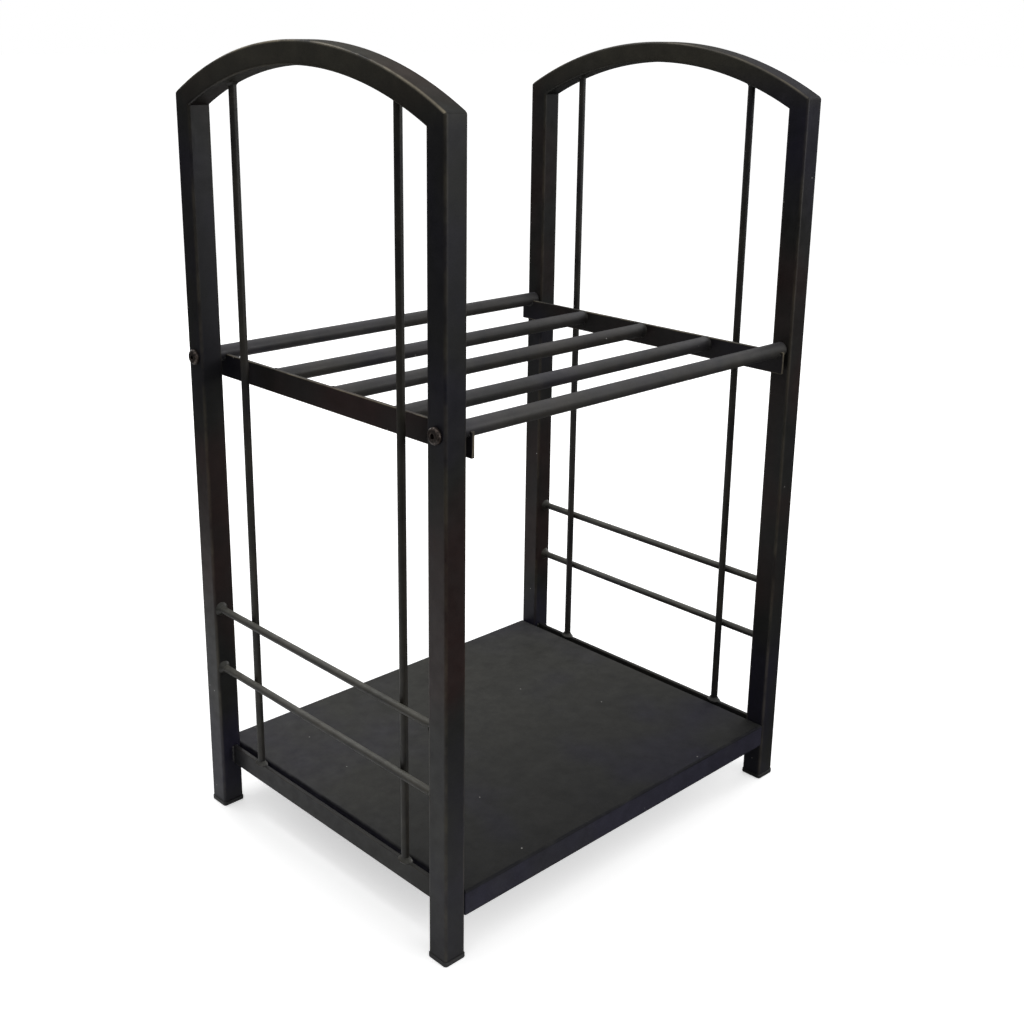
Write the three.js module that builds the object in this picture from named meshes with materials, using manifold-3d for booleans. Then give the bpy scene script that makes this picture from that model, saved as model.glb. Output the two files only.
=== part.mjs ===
// Firewood log rack. Two welded end frames, each a pair of square legs under a
// shallow arch with light rods between them, carry a slatted shelf that is bolted
// through the legs and a folded sheet tray that is screwed to them.
//
// Millimetres. +Z is up, X runs from end frame to end frame, Y from front (-) to
// back (+). The origin is on the floor, under the middle of the rack.

import * as THREE from 'three';
import { mergeVertices } from 'three/addons/utils/BufferGeometryUtils.js';
import Module from 'manifold-3d';

const wasm = await Module();
wasm.setup();

// ---------------------------------------------------------------- dimensions

const WIDTH = 426;            // over the legs, along X
const DEPTH = 330;            // over the legs, along Y
const SHOULDER = 645;         // top outer corner of a leg
const CROWN = 688;            // top of the arches
const FIT = 0.3;              // gap between pieces that touch or are welded

const LEG = 20;               // square tube
const LEG_WALL = 1.2;
const LEG_CORNER = 2;         // outer corner radius of the tube

const ARCH_DEPTH = 18;        // radial depth of the arch tube; its width is LEG
const ARCH_STEPS = 28;        // an even number puts a joint on the crown

const ROD = 6.5;              // round rods of the end frames
const UPRIGHT_Y = 101;        // upright rods, each side of the middle
const CROSS_ROD_Z = [140.3, 197.5];
const ROD_SIDES = 16;

const RAIL_THICKNESS = 3.5;   // flat bar under the upright rods
const RAIL_HEIGHT = 18;
const RAIL_TOP = 59;

const TRAY_TOP = 58.5;
const TRAY_LIP = 21.5;        // height of the turned-down lips
const TRAY_SHEET = 1.2;
const TRAY_FOLD = 2.4;        // outer radius of the front and back folds
const TRAY_SEAM = 0.5;        // slit at the corners between neighbouring lips

const SHELF_TUBE = 13;        // slats of the shelf
const SHELF_WALL = 1.2;
const SHELF_SIDES = 24;
const END_SLAT_Z = 427.5;     // bolted slats at the front and the back
const MID_SLAT_Z = 420.5;       // slats between the side bars, flush with their tops
const MID_SLAT_PITCH = 77.5;
const BAR_TOP = 427;          // flat side bars of the shelf
const BAR_HEIGHT = 20;
const BAR_THICKNESS = 3;
const BAR_INSET = 6;          // from the legs' inner faces to the bars
const BAR_LENGTH = 326;

const BOLT = 6;               // shelf bolts, through the legs
const BOLT_HEAD = 13;
const BOLT_HEAD_HEIGHT = 3.4;
const BOLT_REACH = 36;        // under the head
const BOLT_KEY = 4;           // across the flats of the socket
const BOLT_KEY_DEPTH = 2.2;
const PLUG_LENGTH = 22;       // threaded plug inside a bolted slat's end

const SCREW = 4;              // tray screws, into the legs' inner walls
const SCREW_HEAD = 8;
const SCREW_HEAD_HEIGHT = 2.8;
const SCREW_REACH = 10;
const SCREW_KEY = 2.5;
const SCREW_KEY_DEPTH = 1.6;
const SCREW_Z = 46;

const FOOT_HEIGHT = 4;        // part of a foot cap below the leg
const FOOT_LIP = 0.7;         // how far a foot cap stands out around the leg
const FOOT_PLUG = 15;         // part of a foot cap inside the leg

// ------------------------------------------------------------- worked-out sizes

const LEG_X = (WIDTH - LEG) / 2;
const LEG_Y = (DEPTH - LEG) / 2;
const INNER_X = WIDTH / 2 - LEG;
const INNER_Y = DEPTH / 2 - LEG;
const ROD_OFFSET = (ROD + FIT) / 2;     // rods pass each side of the legs' middle

const CROWN_RISE = CROWN - SHOULDER;
const ARCH_RADIUS = ((DEPTH / 2) ** 2 + CROWN_RISE ** 2) / (2 * CROWN_RISE);
const ARCH_Z = CROWN - ARCH_RADIUS;
const ARCH_INSIDE = ARCH_RADIUS - ARCH_DEPTH;
const INNER_SHOULDER = ARCH_Z + Math.sqrt(ARCH_INSIDE ** 2 - INNER_Y ** 2);
const MITRE_SLOPE = (SHOULDER - INNER_SHOULDER) / LEG;
const CLEAR = 10;                       // how far a cutting tool runs past its work

// ------------------------------------------------------------------- materials

const coat = (color, roughness) => new THREE.MeshStandardMaterial({
  color,
  roughness,
  metalness: 0.35,
});

const FRAME_COAT = coat(0x1c1b1d, 0.42);
const ROD_COAT = coat(0x2b2a29, 0.45);
const SHELF_COAT = coat(0x242327, 0.4);
const TRAY_COAT = coat(0x303032, 0.5);
const BLACKENED_STEEL = new THREE.MeshStandardMaterial({
  color: 0x1f1a18,
  roughness: 0.35,
  metalness: 0.9,
});
const ZINC = new THREE.MeshStandardMaterial({ color: 0x9a9c9e, roughness: 0.35, metalness: 1 });
const FOOT_PLASTIC = new THREE.MeshStandardMaterial({ color: 0x141414, roughness: 0.6, metalness: 0 });

// ------------------------------------------------------------ solids and tools

function toSolid(geometry) {
  const bare = geometry.clone();
  bare.deleteAttribute('normal');
  bare.deleteAttribute('uv');
  const merged = mergeVertices(bare);
  const corners = merged.index.array;
  const kept = [];
  for (let i = 0; i < corners.length; i += 3) {
    const [a, b, c] = [corners[i], corners[i + 1], corners[i + 2]];
    if (a !== b && b !== c && c !== a) kept.push(a, b, c);
  }
  return new wasm.Manifold(new wasm.Mesh({
    numProp: 3,
    vertProperties: merged.attributes.position.array,
    triVerts: new Uint32Array(kept),
  }));
}

function toGeometry(solid) {
  const mesh = solid.getMesh();
  const geometry = new THREE.BufferGeometry();
  geometry.setAttribute('position', new THREE.BufferAttribute(mesh.vertProperties, 3));
  geometry.setIndex(new THREE.BufferAttribute(mesh.triVerts, 1));
  return geometry;
}

function cut(geometry, ...tools) {
  const solid = tools.reduce((rest, tool) => rest.subtract(toSolid(tool)), toSolid(geometry));
  return toGeometry(solid);
}

function join(geometry, ...others) {
  const solid = others.reduce((sum, other) => sum.add(toSolid(other)), toSolid(geometry));
  return toGeometry(solid);
}

function keepInside(geometry, zone) {
  return toGeometry(toSolid(geometry).intersect(toSolid(zone)));
}

// A rectangle with rounded corners, drawn as a shape or as a hole in one.
function roundedRectangle(width, height, radius, Outline = THREE.Shape) {
  const x = width / 2 - radius;
  const y = height / 2 - radius;
  const quarter = Math.PI / 2;
  const outline = new Outline();
  outline.absarc(x, y, radius, 0, quarter);
  outline.absarc(-x, y, radius, quarter, 2 * quarter);
  outline.absarc(-x, -y, radius, 2 * quarter, 3 * quarter);
  outline.absarc(x, -y, radius, 3 * quarter, 4 * quarter);
  outline.closePath();
  return outline;
}

function tubeSection(width, height, corner, wall) {
  const section = roundedRectangle(width, height, corner);
  const bore = roundedRectangle(width - 2 * wall, height - 2 * wall, corner - wall, THREE.Path);
  section.holes.push(bore);
  return section;
}

// Extrudes a shape drawn in side view (its axes are Y and Z) along X.
function sideProfile(shape, xLow, xHigh, curveSegments = 4) {
  const toSideView = new THREE.Matrix4().makeBasis(
    new THREE.Vector3(0, 1, 0),
    new THREE.Vector3(0, 0, 1),
    new THREE.Vector3(1, 0, 0),
  );
  const options = { depth: xHigh - xLow, bevelEnabled: false, curveSegments };
  return new THREE.ExtrudeGeometry(shape, options).translate(0, 0, xLow).applyMatrix4(toSideView);
}

function polygon(points) {
  return new THREE.Shape(points.map(([y, z]) => new THREE.Vector2(y, z)));
}

function cylinderAlongX(radius, length, sides) {
  return new THREE.CylinderGeometry(radius, radius, length, sides).rotateZ(Math.PI / 2);
}

function pipeAlongX(radius, bore, length, sides) {
  const ring = new THREE.Shape().absarc(0, 0, radius, 0, 2 * Math.PI);
  ring.holes.push(new THREE.Path().absarc(0, 0, bore, 0, 2 * Math.PI));
  return sideProfile(ring, -length / 2, length / 2, sides / 2);
}

// A button-head fastener with a hexagon socket. It points along -Y, its head above y = 0.
function socketScrew({ shank, reach, head, headHeight, key, keyDepth }) {
  const tip = shank / 8;
  const rim = 0.4 * headHeight;
  const crown = 0.3 * head;
  const profile = [
    new THREE.Vector2(0, -reach),
    new THREE.Vector2(shank / 2 - tip, -reach),
    new THREE.Vector2(shank / 2, tip - reach),
    new THREE.Vector2(shank / 2, 0),
    new THREE.Vector2(head / 2, 0),
    new THREE.Vector2(head / 2, rim),
    new THREE.Vector2((head / 2 + crown) / 2, rim + 0.75 * (headHeight - rim)),
    new THREE.Vector2(crown, headHeight),
    new THREE.Vector2(0, headHeight),
  ];
  const blank = new THREE.LatheGeometry(profile, 24);
  const keyRadius = key / Math.sqrt(3);
  const socket = new THREE.CylinderGeometry(keyRadius, keyRadius, 2 * keyDepth, 6);
  socket.translate(0, headHeight, 0);
  return cut(blank, socket);
}

function addPiece(parent, name, geometry, material, x = 0, y = 0, z = 0) {
  const piece = new THREE.Mesh(geometry, material);
  piece.name = name;
  piece.position.set(x, y, z);
  parent.add(piece);
  return piece;
}

// ------------------------------------------------------------------ end frames

// Height of the sawn joint between leg and arch, at a distance from the middle.
const mitreZ = (distance) => SHOULDER + (distance - DEPTH / 2) * MITRE_SLOPE;

// Legs: square tube, sawn to the mitre at the top and drilled for the fasteners.
function legGeometry(end, side) {
  const section = tubeSection(LEG, LEG, LEG_CORNER, LEG_WALL);
  const bottom = FOOT_HEIGHT + FIT;
  const options = { depth: CROWN - bottom, bevelEnabled: false, curveSegments: 1 };
  const tube = new THREE.ExtrudeGeometry(section, options).translate(0, side * LEG_Y, bottom);

  const near = INNER_Y - CLEAR;
  const far = DEPTH / 2 + CLEAR;
  const belowMitre = polygon([
    [side * near, 0],
    [side * far, 0],
    [side * far, mitreZ(far)],
    [side * near, mitreZ(near)],
  ]);
  const sawn = keepInside(tube, sideProfile(belowMitre, -LEG, LEG));

  const boltHole = cylinderAlongX(BOLT / 2 + FIT, 2 * LEG, 16);
  boltHole.translate(0, side * LEG_Y, END_SLAT_Z);
  const screwHole = cylinderAlongX(SCREW / 2 + FIT, LEG, 12);
  screwHole.translate(-end * LEG / 2, side * LEG_Y, SCREW_Z);
  return cut(sawn, boltHole, screwHole);
}

// Arch: the tube's middle line, a little longer than the finished arch.
class ArchLine extends THREE.Curve {
  getPoint(t, target = new THREE.Vector3()) {
    const radius = ARCH_RADIUS - ARCH_DEPTH / 2;
    const reach = Math.asin((DEPTH / 2 + CLEAR) / ARCH_RADIUS);
    const angle = THREE.MathUtils.lerp(-reach, reach, t);
    return target.set(0, radius * Math.sin(angle), ARCH_Z + radius * Math.cos(angle));
  }
}

function archGeometry() {
  const section = tubeSection(LEG, ARCH_DEPTH, LEG_CORNER, LEG_WALL);
  const options = { steps: ARCH_STEPS, extrudePath: new ArchLine(), curveSegments: 1 };
  const tube = new THREE.ExtrudeGeometry(section, options);

  const near = INNER_Y - CLEAR;
  const far = DEPTH / 2 + 2 * CLEAR;
  const aboveMitres = polygon([
    [-far, mitreZ(far) + FIT],
    [-near, mitreZ(near) + FIT],
    [near, mitreZ(near) + FIT],
    [far, mitreZ(far) + FIT],
    [far, CROWN + CLEAR],
    [-far, CROWN + CLEAR],
  ]);
  return keepInside(tube, sideProfile(aboveMitres, -LEG, LEG));
}

// Upright rods stand on the rail and end against the underside of the arch.
function uprightGeometry(side) {
  const bottom = RAIL_TOP + FIT;
  const length = CROWN - bottom;
  const rod = new THREE.CylinderGeometry(ROD / 2, ROD / 2, length, ROD_SIDES);
  rod.rotateX(Math.PI / 2).translate(0, side * UPRIGHT_Y, bottom + length / 2);
  const underArch = cylinderAlongX(ARCH_INSIDE - FIT, 2 * LEG, 180).translate(0, 0, ARCH_Z);
  return keepInside(rod, underArch);
}

function crossRodGeometry() {
  const length = 2 * (INNER_Y - FIT);
  return new THREE.CylinderGeometry(ROD / 2, ROD / 2, length, ROD_SIDES);
}

function footCapGeometry() {
  const flangeSize = LEG + 2 * FOOT_LIP;
  const plugSize = LEG - 2 * LEG_WALL - 2 * FIT;
  const flange = new THREE.ExtrudeGeometry(
    roundedRectangle(flangeSize, flangeSize, LEG_CORNER + FOOT_LIP),
    { depth: FOOT_HEIGHT, bevelEnabled: false, curveSegments: 2 },
  );
  const plug = new THREE.ExtrudeGeometry(
    roundedRectangle(plugSize, plugSize, LEG_CORNER),
    { depth: FOOT_PLUG + FOOT_HEIGHT / 2, bevelEnabled: false, curveSegments: 1 },
  );
  return join(flange, plug.translate(0, 0, FOOT_HEIGHT / 2));
}

function endFrame(end, endName) {
  const frame = new THREE.Group();
  frame.position.x = end * LEG_X;
  const inboard = -end * ROD_OFFSET;
  const outboard = end * ROD_OFFSET;

  addPiece(frame, `${endName}_arch`, archGeometry(), FRAME_COAT);
  const rail = new THREE.BoxGeometry(RAIL_THICKNESS, 2 * (INNER_Y - FIT), RAIL_HEIGHT);
  addPiece(frame, `${endName}_base_rail`, rail, FRAME_COAT, inboard, 0, RAIL_TOP - RAIL_HEIGHT / 2);

  for (const [side, sideName] of [[-1, 'front'], [1, 'back']]) {
    const name = `${endName}_${sideName}`;
    addPiece(frame, `${name}_leg`, legGeometry(end, side), FRAME_COAT);
    addPiece(frame, `${name}_upright_rod`, uprightGeometry(side), ROD_COAT, inboard);
    addPiece(frame, `${name}_foot_cap`, footCapGeometry(), FOOT_PLASTIC, 0, side * LEG_Y, 0);
  }
  const levels = ['lower', 'upper'];
  levels.forEach((level, i) => {
    const rod = crossRodGeometry();
    addPiece(frame, `${endName}_${level}_cross_rod`, rod, ROD_COAT, outboard, 0, CROSS_ROD_Z[i]);
  });
  return frame;
}

// ----------------------------------------------------------------------- shelf

function slatGeometry(length) {
  const radius = SHELF_TUBE / 2;
  return pipeAlongX(radius, radius - SHELF_WALL, length, SHELF_SIDES);
}

// Side bars: flat bar with a round saddle near each end for a bolted slat.
function sideBarGeometry() {
  const bar = new THREE.BoxGeometry(BAR_THICKNESS, BAR_LENGTH, BAR_HEIGHT);
  bar.translate(0, 0, BAR_TOP - BAR_HEIGHT / 2);
  const saddles = [-LEG_Y, LEG_Y].map((y) => {
    const saddle = cylinderAlongX(SHELF_TUBE / 2 + FIT, 2 * BAR_THICKNESS, 32);
    return saddle.translate(0, y, END_SLAT_Z);
  });
  return cut(bar, ...saddles);
}

function shelf() {
  const group = new THREE.Group();
  const barX = INNER_X - BAR_INSET - BAR_THICKNESS / 2;
  const endSlatLength = 2 * (INNER_X - FIT);
  const midSlatLength = 2 * (barX - BAR_THICKNESS / 2 - FIT);

  addPiece(group, 'shelf_front_slat', slatGeometry(endSlatLength), SHELF_COAT, 0, -LEG_Y, END_SLAT_Z);
  addPiece(group, 'shelf_back_slat', slatGeometry(endSlatLength), SHELF_COAT, 0, LEG_Y, END_SLAT_Z);
  for (const [step, name] of [[-1, 'front_middle'], [0, 'middle'], [1, 'back_middle']]) {
    const y = step * MID_SLAT_PITCH;
    addPiece(group, `shelf_${name}_slat`, slatGeometry(midSlatLength), SHELF_COAT, 0, y, MID_SLAT_Z);
  }
  addPiece(group, 'shelf_left_bar', sideBarGeometry(), SHELF_COAT, -barX);
  addPiece(group, 'shelf_right_bar', sideBarGeometry(), SHELF_COAT, barX);
  return group;
}

// ------------------------------------------------------------------------ tray

// Side view of the pan: flat top, rounded folds, lips turned down at front and back.
function panOutline() {
  const halfDepth = DEPTH / 2;
  const bottom = TRAY_TOP - TRAY_LIP;
  const inner = TRAY_FOLD - TRAY_SHEET;
  const foldY = halfDepth - TRAY_FOLD;
  const foldZ = TRAY_TOP - TRAY_FOLD;
  const outline = new THREE.Shape();
  outline.moveTo(halfDepth, bottom);
  outline.absarc(foldY, foldZ, TRAY_FOLD, 0, Math.PI / 2);
  outline.absarc(-foldY, foldZ, TRAY_FOLD, Math.PI / 2, Math.PI);
  outline.lineTo(-halfDepth, bottom);
  outline.lineTo(TRAY_SHEET - halfDepth, bottom);
  outline.absarc(-foldY, foldZ, inner, Math.PI, Math.PI / 2, true);
  outline.absarc(foldY, foldZ, inner, Math.PI / 2, 0, true);
  outline.lineTo(halfDepth - TRAY_SHEET, bottom);
  outline.closePath();
  return outline;
}

function trayGeometry() {
  const halfWidth = INNER_X - FIT;
  const pan = sideProfile(panOutline(), -halfWidth, halfWidth);
  const lipLength = DEPTH - 2 * (TRAY_FOLD + TRAY_SEAM);
  const lipHeight = TRAY_LIP - TRAY_SHEET / 2;
  const sideLips = [-1, 1].map((end) => {
    const lip = new THREE.BoxGeometry(TRAY_SHEET, lipLength, lipHeight);
    return lip.translate(
      end * (halfWidth - TRAY_SHEET / 2),
      0,
      TRAY_TOP - TRAY_LIP + lipHeight / 2,
    );
  });
  const screwHoles = [-LEG_Y, LEG_Y].map((y) => {
    const hole = cylinderAlongX(SCREW / 2 + FIT, WIDTH, 12);
    return hole.translate(0, y, SCREW_Z);
  });
  return cut(join(pan, ...sideLips), ...screwHoles);
}

// ------------------------------------------------------------------- fasteners

// Turns a piece made along +Y so that it points out of the given end of the rack.
const pointOut = (geometry, end) => geometry.rotateZ(-end * Math.PI / 2);
const pointIn = (geometry, end) => geometry.rotateZ(end * Math.PI / 2);

function shelfBoltGeometry() {
  return socketScrew({
    shank: BOLT,
    reach: BOLT_REACH,
    head: BOLT_HEAD,
    headHeight: BOLT_HEAD_HEIGHT,
    key: BOLT_KEY,
    keyDepth: BOLT_KEY_DEPTH,
  });
}

function trayScrewGeometry() {
  return socketScrew({
    shank: SCREW,
    reach: SCREW_REACH,
    head: SCREW_HEAD,
    headHeight: SCREW_HEAD_HEIGHT,
    key: SCREW_KEY,
    keyDepth: SCREW_KEY_DEPTH,
  });
}

function threadedPlugGeometry() {
  const radius = SHELF_TUBE / 2 - SHELF_WALL - FIT;
  return pipeAlongX(radius, BOLT / 2 + FIT, PLUG_LENGTH, 20);
}

function fasteners(end, endName) {
  const group = new THREE.Group();
  const boltX = end * (WIDTH / 2 + FIT);
  const plugX = end * (INNER_X - FIT - PLUG_LENGTH / 2);
  const screwX = end * (INNER_X - 2 * FIT - TRAY_SHEET);
  for (const [side, sideName] of [[-1, 'front'], [1, 'back']]) {
    const name = `${endName}_${sideName}`;
    const y = side * LEG_Y;
    const bolt = pointOut(shelfBoltGeometry(), end);
    addPiece(group, `${name}_shelf_bolt`, bolt, BLACKENED_STEEL, boltX, y, END_SLAT_Z);
    addPiece(group, `${name}_threaded_plug`, threadedPlugGeometry(), ZINC, plugX, y, END_SLAT_Z);
    const screw = pointIn(trayScrewGeometry(), end);
    addPiece(group, `${name}_tray_screw`, screw, ZINC, screwX, y, SCREW_Z);
  }
  return group;
}

// ------------------------------------------------------------------------ rack

const rack = new THREE.Group();
rack.add(endFrame(-1, 'left'), endFrame(1, 'right'));
rack.add(shelf());
addPiece(rack, 'tray', trayGeometry(), TRAY_COAT);
rack.add(fasteners(-1, 'left'), fasteners(1, 'right'));

export default rack;
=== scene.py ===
"""Firewood log rack: finer meshes, coats, lights and a camera around the CAD frame.

Metres. +Z is up, X runs from the left end frame (-) to the right one, Y from front (-) to
back (+). Places come from the boxes of the CAD nodes; MM turns millimetres into metres.
"""

import math

import bmesh
import bpy
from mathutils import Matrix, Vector, noise


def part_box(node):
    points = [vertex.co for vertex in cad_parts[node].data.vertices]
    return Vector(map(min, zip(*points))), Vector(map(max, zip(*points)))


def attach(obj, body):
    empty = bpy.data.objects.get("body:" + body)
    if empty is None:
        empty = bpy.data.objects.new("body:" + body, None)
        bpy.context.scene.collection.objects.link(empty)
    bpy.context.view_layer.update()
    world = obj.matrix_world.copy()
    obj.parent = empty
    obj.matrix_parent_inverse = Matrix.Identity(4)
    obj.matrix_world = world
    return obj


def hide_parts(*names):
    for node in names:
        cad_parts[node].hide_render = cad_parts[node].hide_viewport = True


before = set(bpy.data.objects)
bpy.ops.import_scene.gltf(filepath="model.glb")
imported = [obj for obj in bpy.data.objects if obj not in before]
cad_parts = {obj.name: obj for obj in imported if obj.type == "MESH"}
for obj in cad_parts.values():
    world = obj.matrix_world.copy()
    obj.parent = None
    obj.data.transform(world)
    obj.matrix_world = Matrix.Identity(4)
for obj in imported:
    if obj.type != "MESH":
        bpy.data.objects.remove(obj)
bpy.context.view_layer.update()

MM = 0.001
ENDS = ((-1, "left"), (1, "right"))
SIDES = ((-1, "front"), (1, "back"))

# ------------------------------------------------------------------ camera

CAMERA_PLACE = (-0.79834, -0.82985, 0.69599)
CAMERA_TURN = (73.5383, -0.7864, -44.0629)  # degrees
CAMERA_LENS = 47.533
CAMERA_SENSOR = 36.0
CAMERA_SHIFT_Y = -0.0801


def add_camera():
    data = bpy.data.cameras.new("camera")
    data.lens = CAMERA_LENS
    data.sensor_width = CAMERA_SENSOR
    data.shift_y = CAMERA_SHIFT_Y
    camera = bpy.data.objects.new("camera", data)
    camera.location = CAMERA_PLACE
    camera.rotation_euler = [math.radians(angle) for angle in CAMERA_TURN]
    bpy.context.scene.collection.objects.link(camera)
    bpy.context.scene.camera = camera


add_camera()

# ------------------------------------------------------ sizes from the frame

LEG_LO, LEG_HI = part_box("right_back_leg")
ARCH_LO, ARCH_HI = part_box("right_arch")
GAP = 0.3 * MM                       # space the CAD leaves between joined pieces
LEG = LEG_HI.x - LEG_LO.x
HALF_DEPTH = LEG_HI.y
INNER_Y = LEG_LO.y
LEG_X = (LEG_LO.x + LEG_HI.x) / 2
LEG_Y = (LEG_LO.y + LEG_HI.y) / 2
SHOULDER = LEG_HI.z
INNER_SHOULDER = ARCH_LO.z - GAP
MITRE_SLOPE = (SHOULDER - INNER_SHOULDER) / LEG
RISE = ARCH_HI.z - SHOULDER
ARCH_RADIUS = (HALF_DEPTH**2 + RISE**2) / (2 * RISE)
ARCH_Z = ARCH_HI.z - ARCH_RADIUS
ARCH_DEPTH = 18 * MM

TUBE_WALL = 1.2 * MM
TUBE_CORNER = 2.0 * MM


def mitre_z(distance):
    """Height of the mitre at a distance from the middle of the rack, along Y."""
    return SHOULDER + (distance - HALF_DEPTH) * MITRE_SLOPE


# ------------------------------------------------------------- mesh building

WEAR_AND_LIGHT = "wear_and_light"                        # how much a point lies on a rubbed edge, 0 to 1; it also places painted highlights and painted shade
ROUND_WEAR = 0.4                     # at the ends of a rounded corner; it is 1 in the middle
SHARP = math.radians(38)             # edges bent more than this are shaded as sharp


class Shell:
    """Vertices with a value for rubbed edges and painted light, joined ring by ring into closed
    bodies.
    """

    def __init__(self):
        self.points = []
        self.wear_and_light = []
        self.faces = []

    def ring(self, points, wear_and_light=0.0):
        start = len(self.points)
        self.points += [Vector(p) for p in points]
        self.wear_and_light += list(wear_and_light) if hasattr(wear_and_light, "__len__") else [wear_and_light] * len(points)
        return list(range(start, len(self.points)))

    def bridge(self, low, high):
        count = len(low)
        for i in range(count):
            j = (i + 1) % count
            self.faces.append((low[i], low[j], high[j], high[i]))

    def cap(self, ring):
        self.faces.append(tuple(ring))

    def stack(self, rings, closed=False):
        """Joins rings of (points, value for rubbed edges and painted light) in order; a closed
        stack joins the last to the first.
        """
        made = [self.ring(points, wear_and_light) for points, wear_and_light in rings]
        for low, high in zip(made, made[1:]):
            self.bridge(low, high)
        if closed:
            self.bridge(made[-1], made[0])
        else:
            self.cap(made[0][::-1])
            self.cap(made[-1])

    def build(self, name, material, slot, *nodes):
        mesh = bpy.data.meshes.new(name)
        mesh.from_pydata([tuple(p) for p in self.points], [], self.faces)
        work = bmesh.new()
        work.from_mesh(mesh)
        bmesh.ops.recalc_face_normals(work, faces=work.faces)
        for face in work.faces:
            face.smooth = True
        for edge in work.edges:
            edge.smooth = edge.calc_face_angle(0.0) < SHARP
        work.to_mesh(mesh)
        work.free()
        values = mesh.attributes.new(WEAR_AND_LIGHT, "FLOAT", "POINT")
        values.data.foreach_set("value", self.wear_and_light)
        mesh.materials.append(material)
        piece = bpy.data.objects.new(name, mesh)
        bpy.context.scene.collection.objects.link(piece)
        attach(piece, "root")
        if nodes:
            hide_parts(*nodes)
        return piece


def section(width, height, radius, steps=5, support=0.8 * MM):
    """Points (u, v, wear) around a rounded rectangle, with support points beside each corner."""
    flat = min(width, height) - 2 * radius
    reach = min(support, 0.3 * flat)
    points = []
    for corner in range(4):
        start = corner * math.pi / 2
        u = (width / 2 - radius) * (1 if corner in (0, 3) else -1)
        v = (height / 2 - radius) * (1 if corner in (0, 1) else -1)
        arc = []
        for i in range(steps + 1):
            angle = start + math.pi / 2 * i / steps
            wear_and_light_amount = ROUND_WEAR + (1 - ROUND_WEAR) * math.sin(math.pi * i / steps)
            arc.append((u + radius * math.cos(angle), v + radius * math.sin(angle), wear_and_light_amount))
        end = start + math.pi / 2
        first, last = arc[0], arc[-1]
        before = (first[0] + reach * math.sin(start), first[1] - reach * math.cos(start), 0.0)
        after = (last[0] - reach * math.sin(end), last[1] + reach * math.cos(end), 0.0)
        points += [before, *arc, after]
    return points


def circle(radius, sides):
    """Points (u, v) around a circle."""
    turns = (2 * math.pi * i / sides for i in range(sides))
    return [(radius * math.cos(a), radius * math.sin(a)) for a in turns]


# ----------------------------------------------------------------- materials


class Nodes:
    """A small helper that adds and joins nodes in the tree of a material or a world."""

    def __init__(self, owner):
        owner.use_nodes = True
        self.owner = owner
        self.tree = owner.node_tree
        self.tree.nodes.clear()
        self.coords = self.add("ShaderNodeTexCoord").outputs
        self.place = self.coords["Object"]

    def add(self, kind, values=None, **settings):
        node = self.tree.nodes.new(kind)
        for key, value in settings.items():
            setattr(node, key, value)
        for key, value in (values or {}).items():
            self.put(node.inputs[key], value)
        return node

    def put(self, socket, value):
        if isinstance(value, bpy.types.NodeSocket):
            self.tree.links.new(value, socket)
        else:
            socket.default_value = value

    def split(self, vector):
        """X, Y and Z of a vector."""
        return self.add("ShaderNodeSeparateXYZ", {0: vector}).outputs

    def shift(self, vector, offset):
        return self.add("ShaderNodeVectorMath", {0: vector, 1: offset}).outputs[0]

    def noise(self, scale, detail=2.0, roughness=0.5, offset=0.0):
        """Noise in the piece's own space; another offset gives another pattern."""
        place = self.shift(self.place, (offset, offset, offset))
        values = {"Vector": place, "Scale": scale, "Detail": detail, "Roughness": roughness}
        return self.add("ShaderNodeTexNoise", values).outputs["Fac"]

    def remap(self, value, low, high, to_low=0.0, to_high=1.0, **settings):
        names = ("Value", "From Min", "From Max", "To Min", "To Max")
        values = dict(zip(names, (value, low, high, to_low, to_high)))
        return self.add("ShaderNodeMapRange", values, clamp=True, **settings).outputs[0]

    def spread(self, value, to_low=0.0, to_high=1.0):
        """A noise's usual range, stretched to another one."""
        return self.remap(value, NOISE_LOW, NOISE_HIGH, to_low, to_high)

    def math(self, operation, a, b):
        return self.add("ShaderNodeMath", {0: a, 1: b}, operation=operation).outputs[0]

    def grey(self, value):
        return self.add("ShaderNodeCombineColor", {0: value, 1: value, 2: value}).outputs[0]

    def blend(self, factor, a, b, mode="MIX"):
        values = {0: factor, 6: a, 7: b}  # 6 and 7 are the node's colour sockets
        return self.add("ShaderNodeMix", values, data_type="RGBA", blend_type=mode).outputs[2]

    def edges(self):
        """How much a point lies on a rubbed edge, which also places painted highlights on the
        arches and painted shade on the tray's folds.
        """
        return self.add("ShaderNodeAttribute", attribute_name=WEAR_AND_LIGHT).outputs["Fac"]

    def specks(self, scale, size, share):
        """Small round spots: 1 inside the few cells that carry one, 0 elsewhere."""
        cells = self.add("ShaderNodeTexVoronoi", {"Vector": self.place, "Scale": scale})
        near = self.remap(cells.outputs["Distance"], size, SPECK_CORE * size)
        tone = self.add("ShaderNodeSeparateColor", {0: cells.outputs["Color"]})
        chosen = self.remap(tone.outputs[0], 1 - share, 1 - share + 0.001)
        return self.math("MULTIPLY", near, chosen)

    def bump(self, height, distance, strength=1.0, below=None):
        values = {"Height": height, "Distance": distance, "Strength": strength}
        if below is not None:
            values["Normal"] = below
        return self.add("ShaderNodeBump", values).outputs[0]

    def output(self, kind, shader):
        self.add(kind, {0: shader.outputs[0]})

    def finish(self, **sockets):
        """Puts the values on a surface shader and returns the material."""
        values = {name.replace("_", " "): value for name, value in sockets.items()}
        self.output("ShaderNodeOutputMaterial", self.add("ShaderNodeBsdfPrincipled", values))
        return self.owner


def rgb(red, green, blue):
    return (red, green, blue, 1.0)


NOISE_LOW, NOISE_HIGH = 0.3, 0.7     # most of a noise's values lie between these

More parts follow.
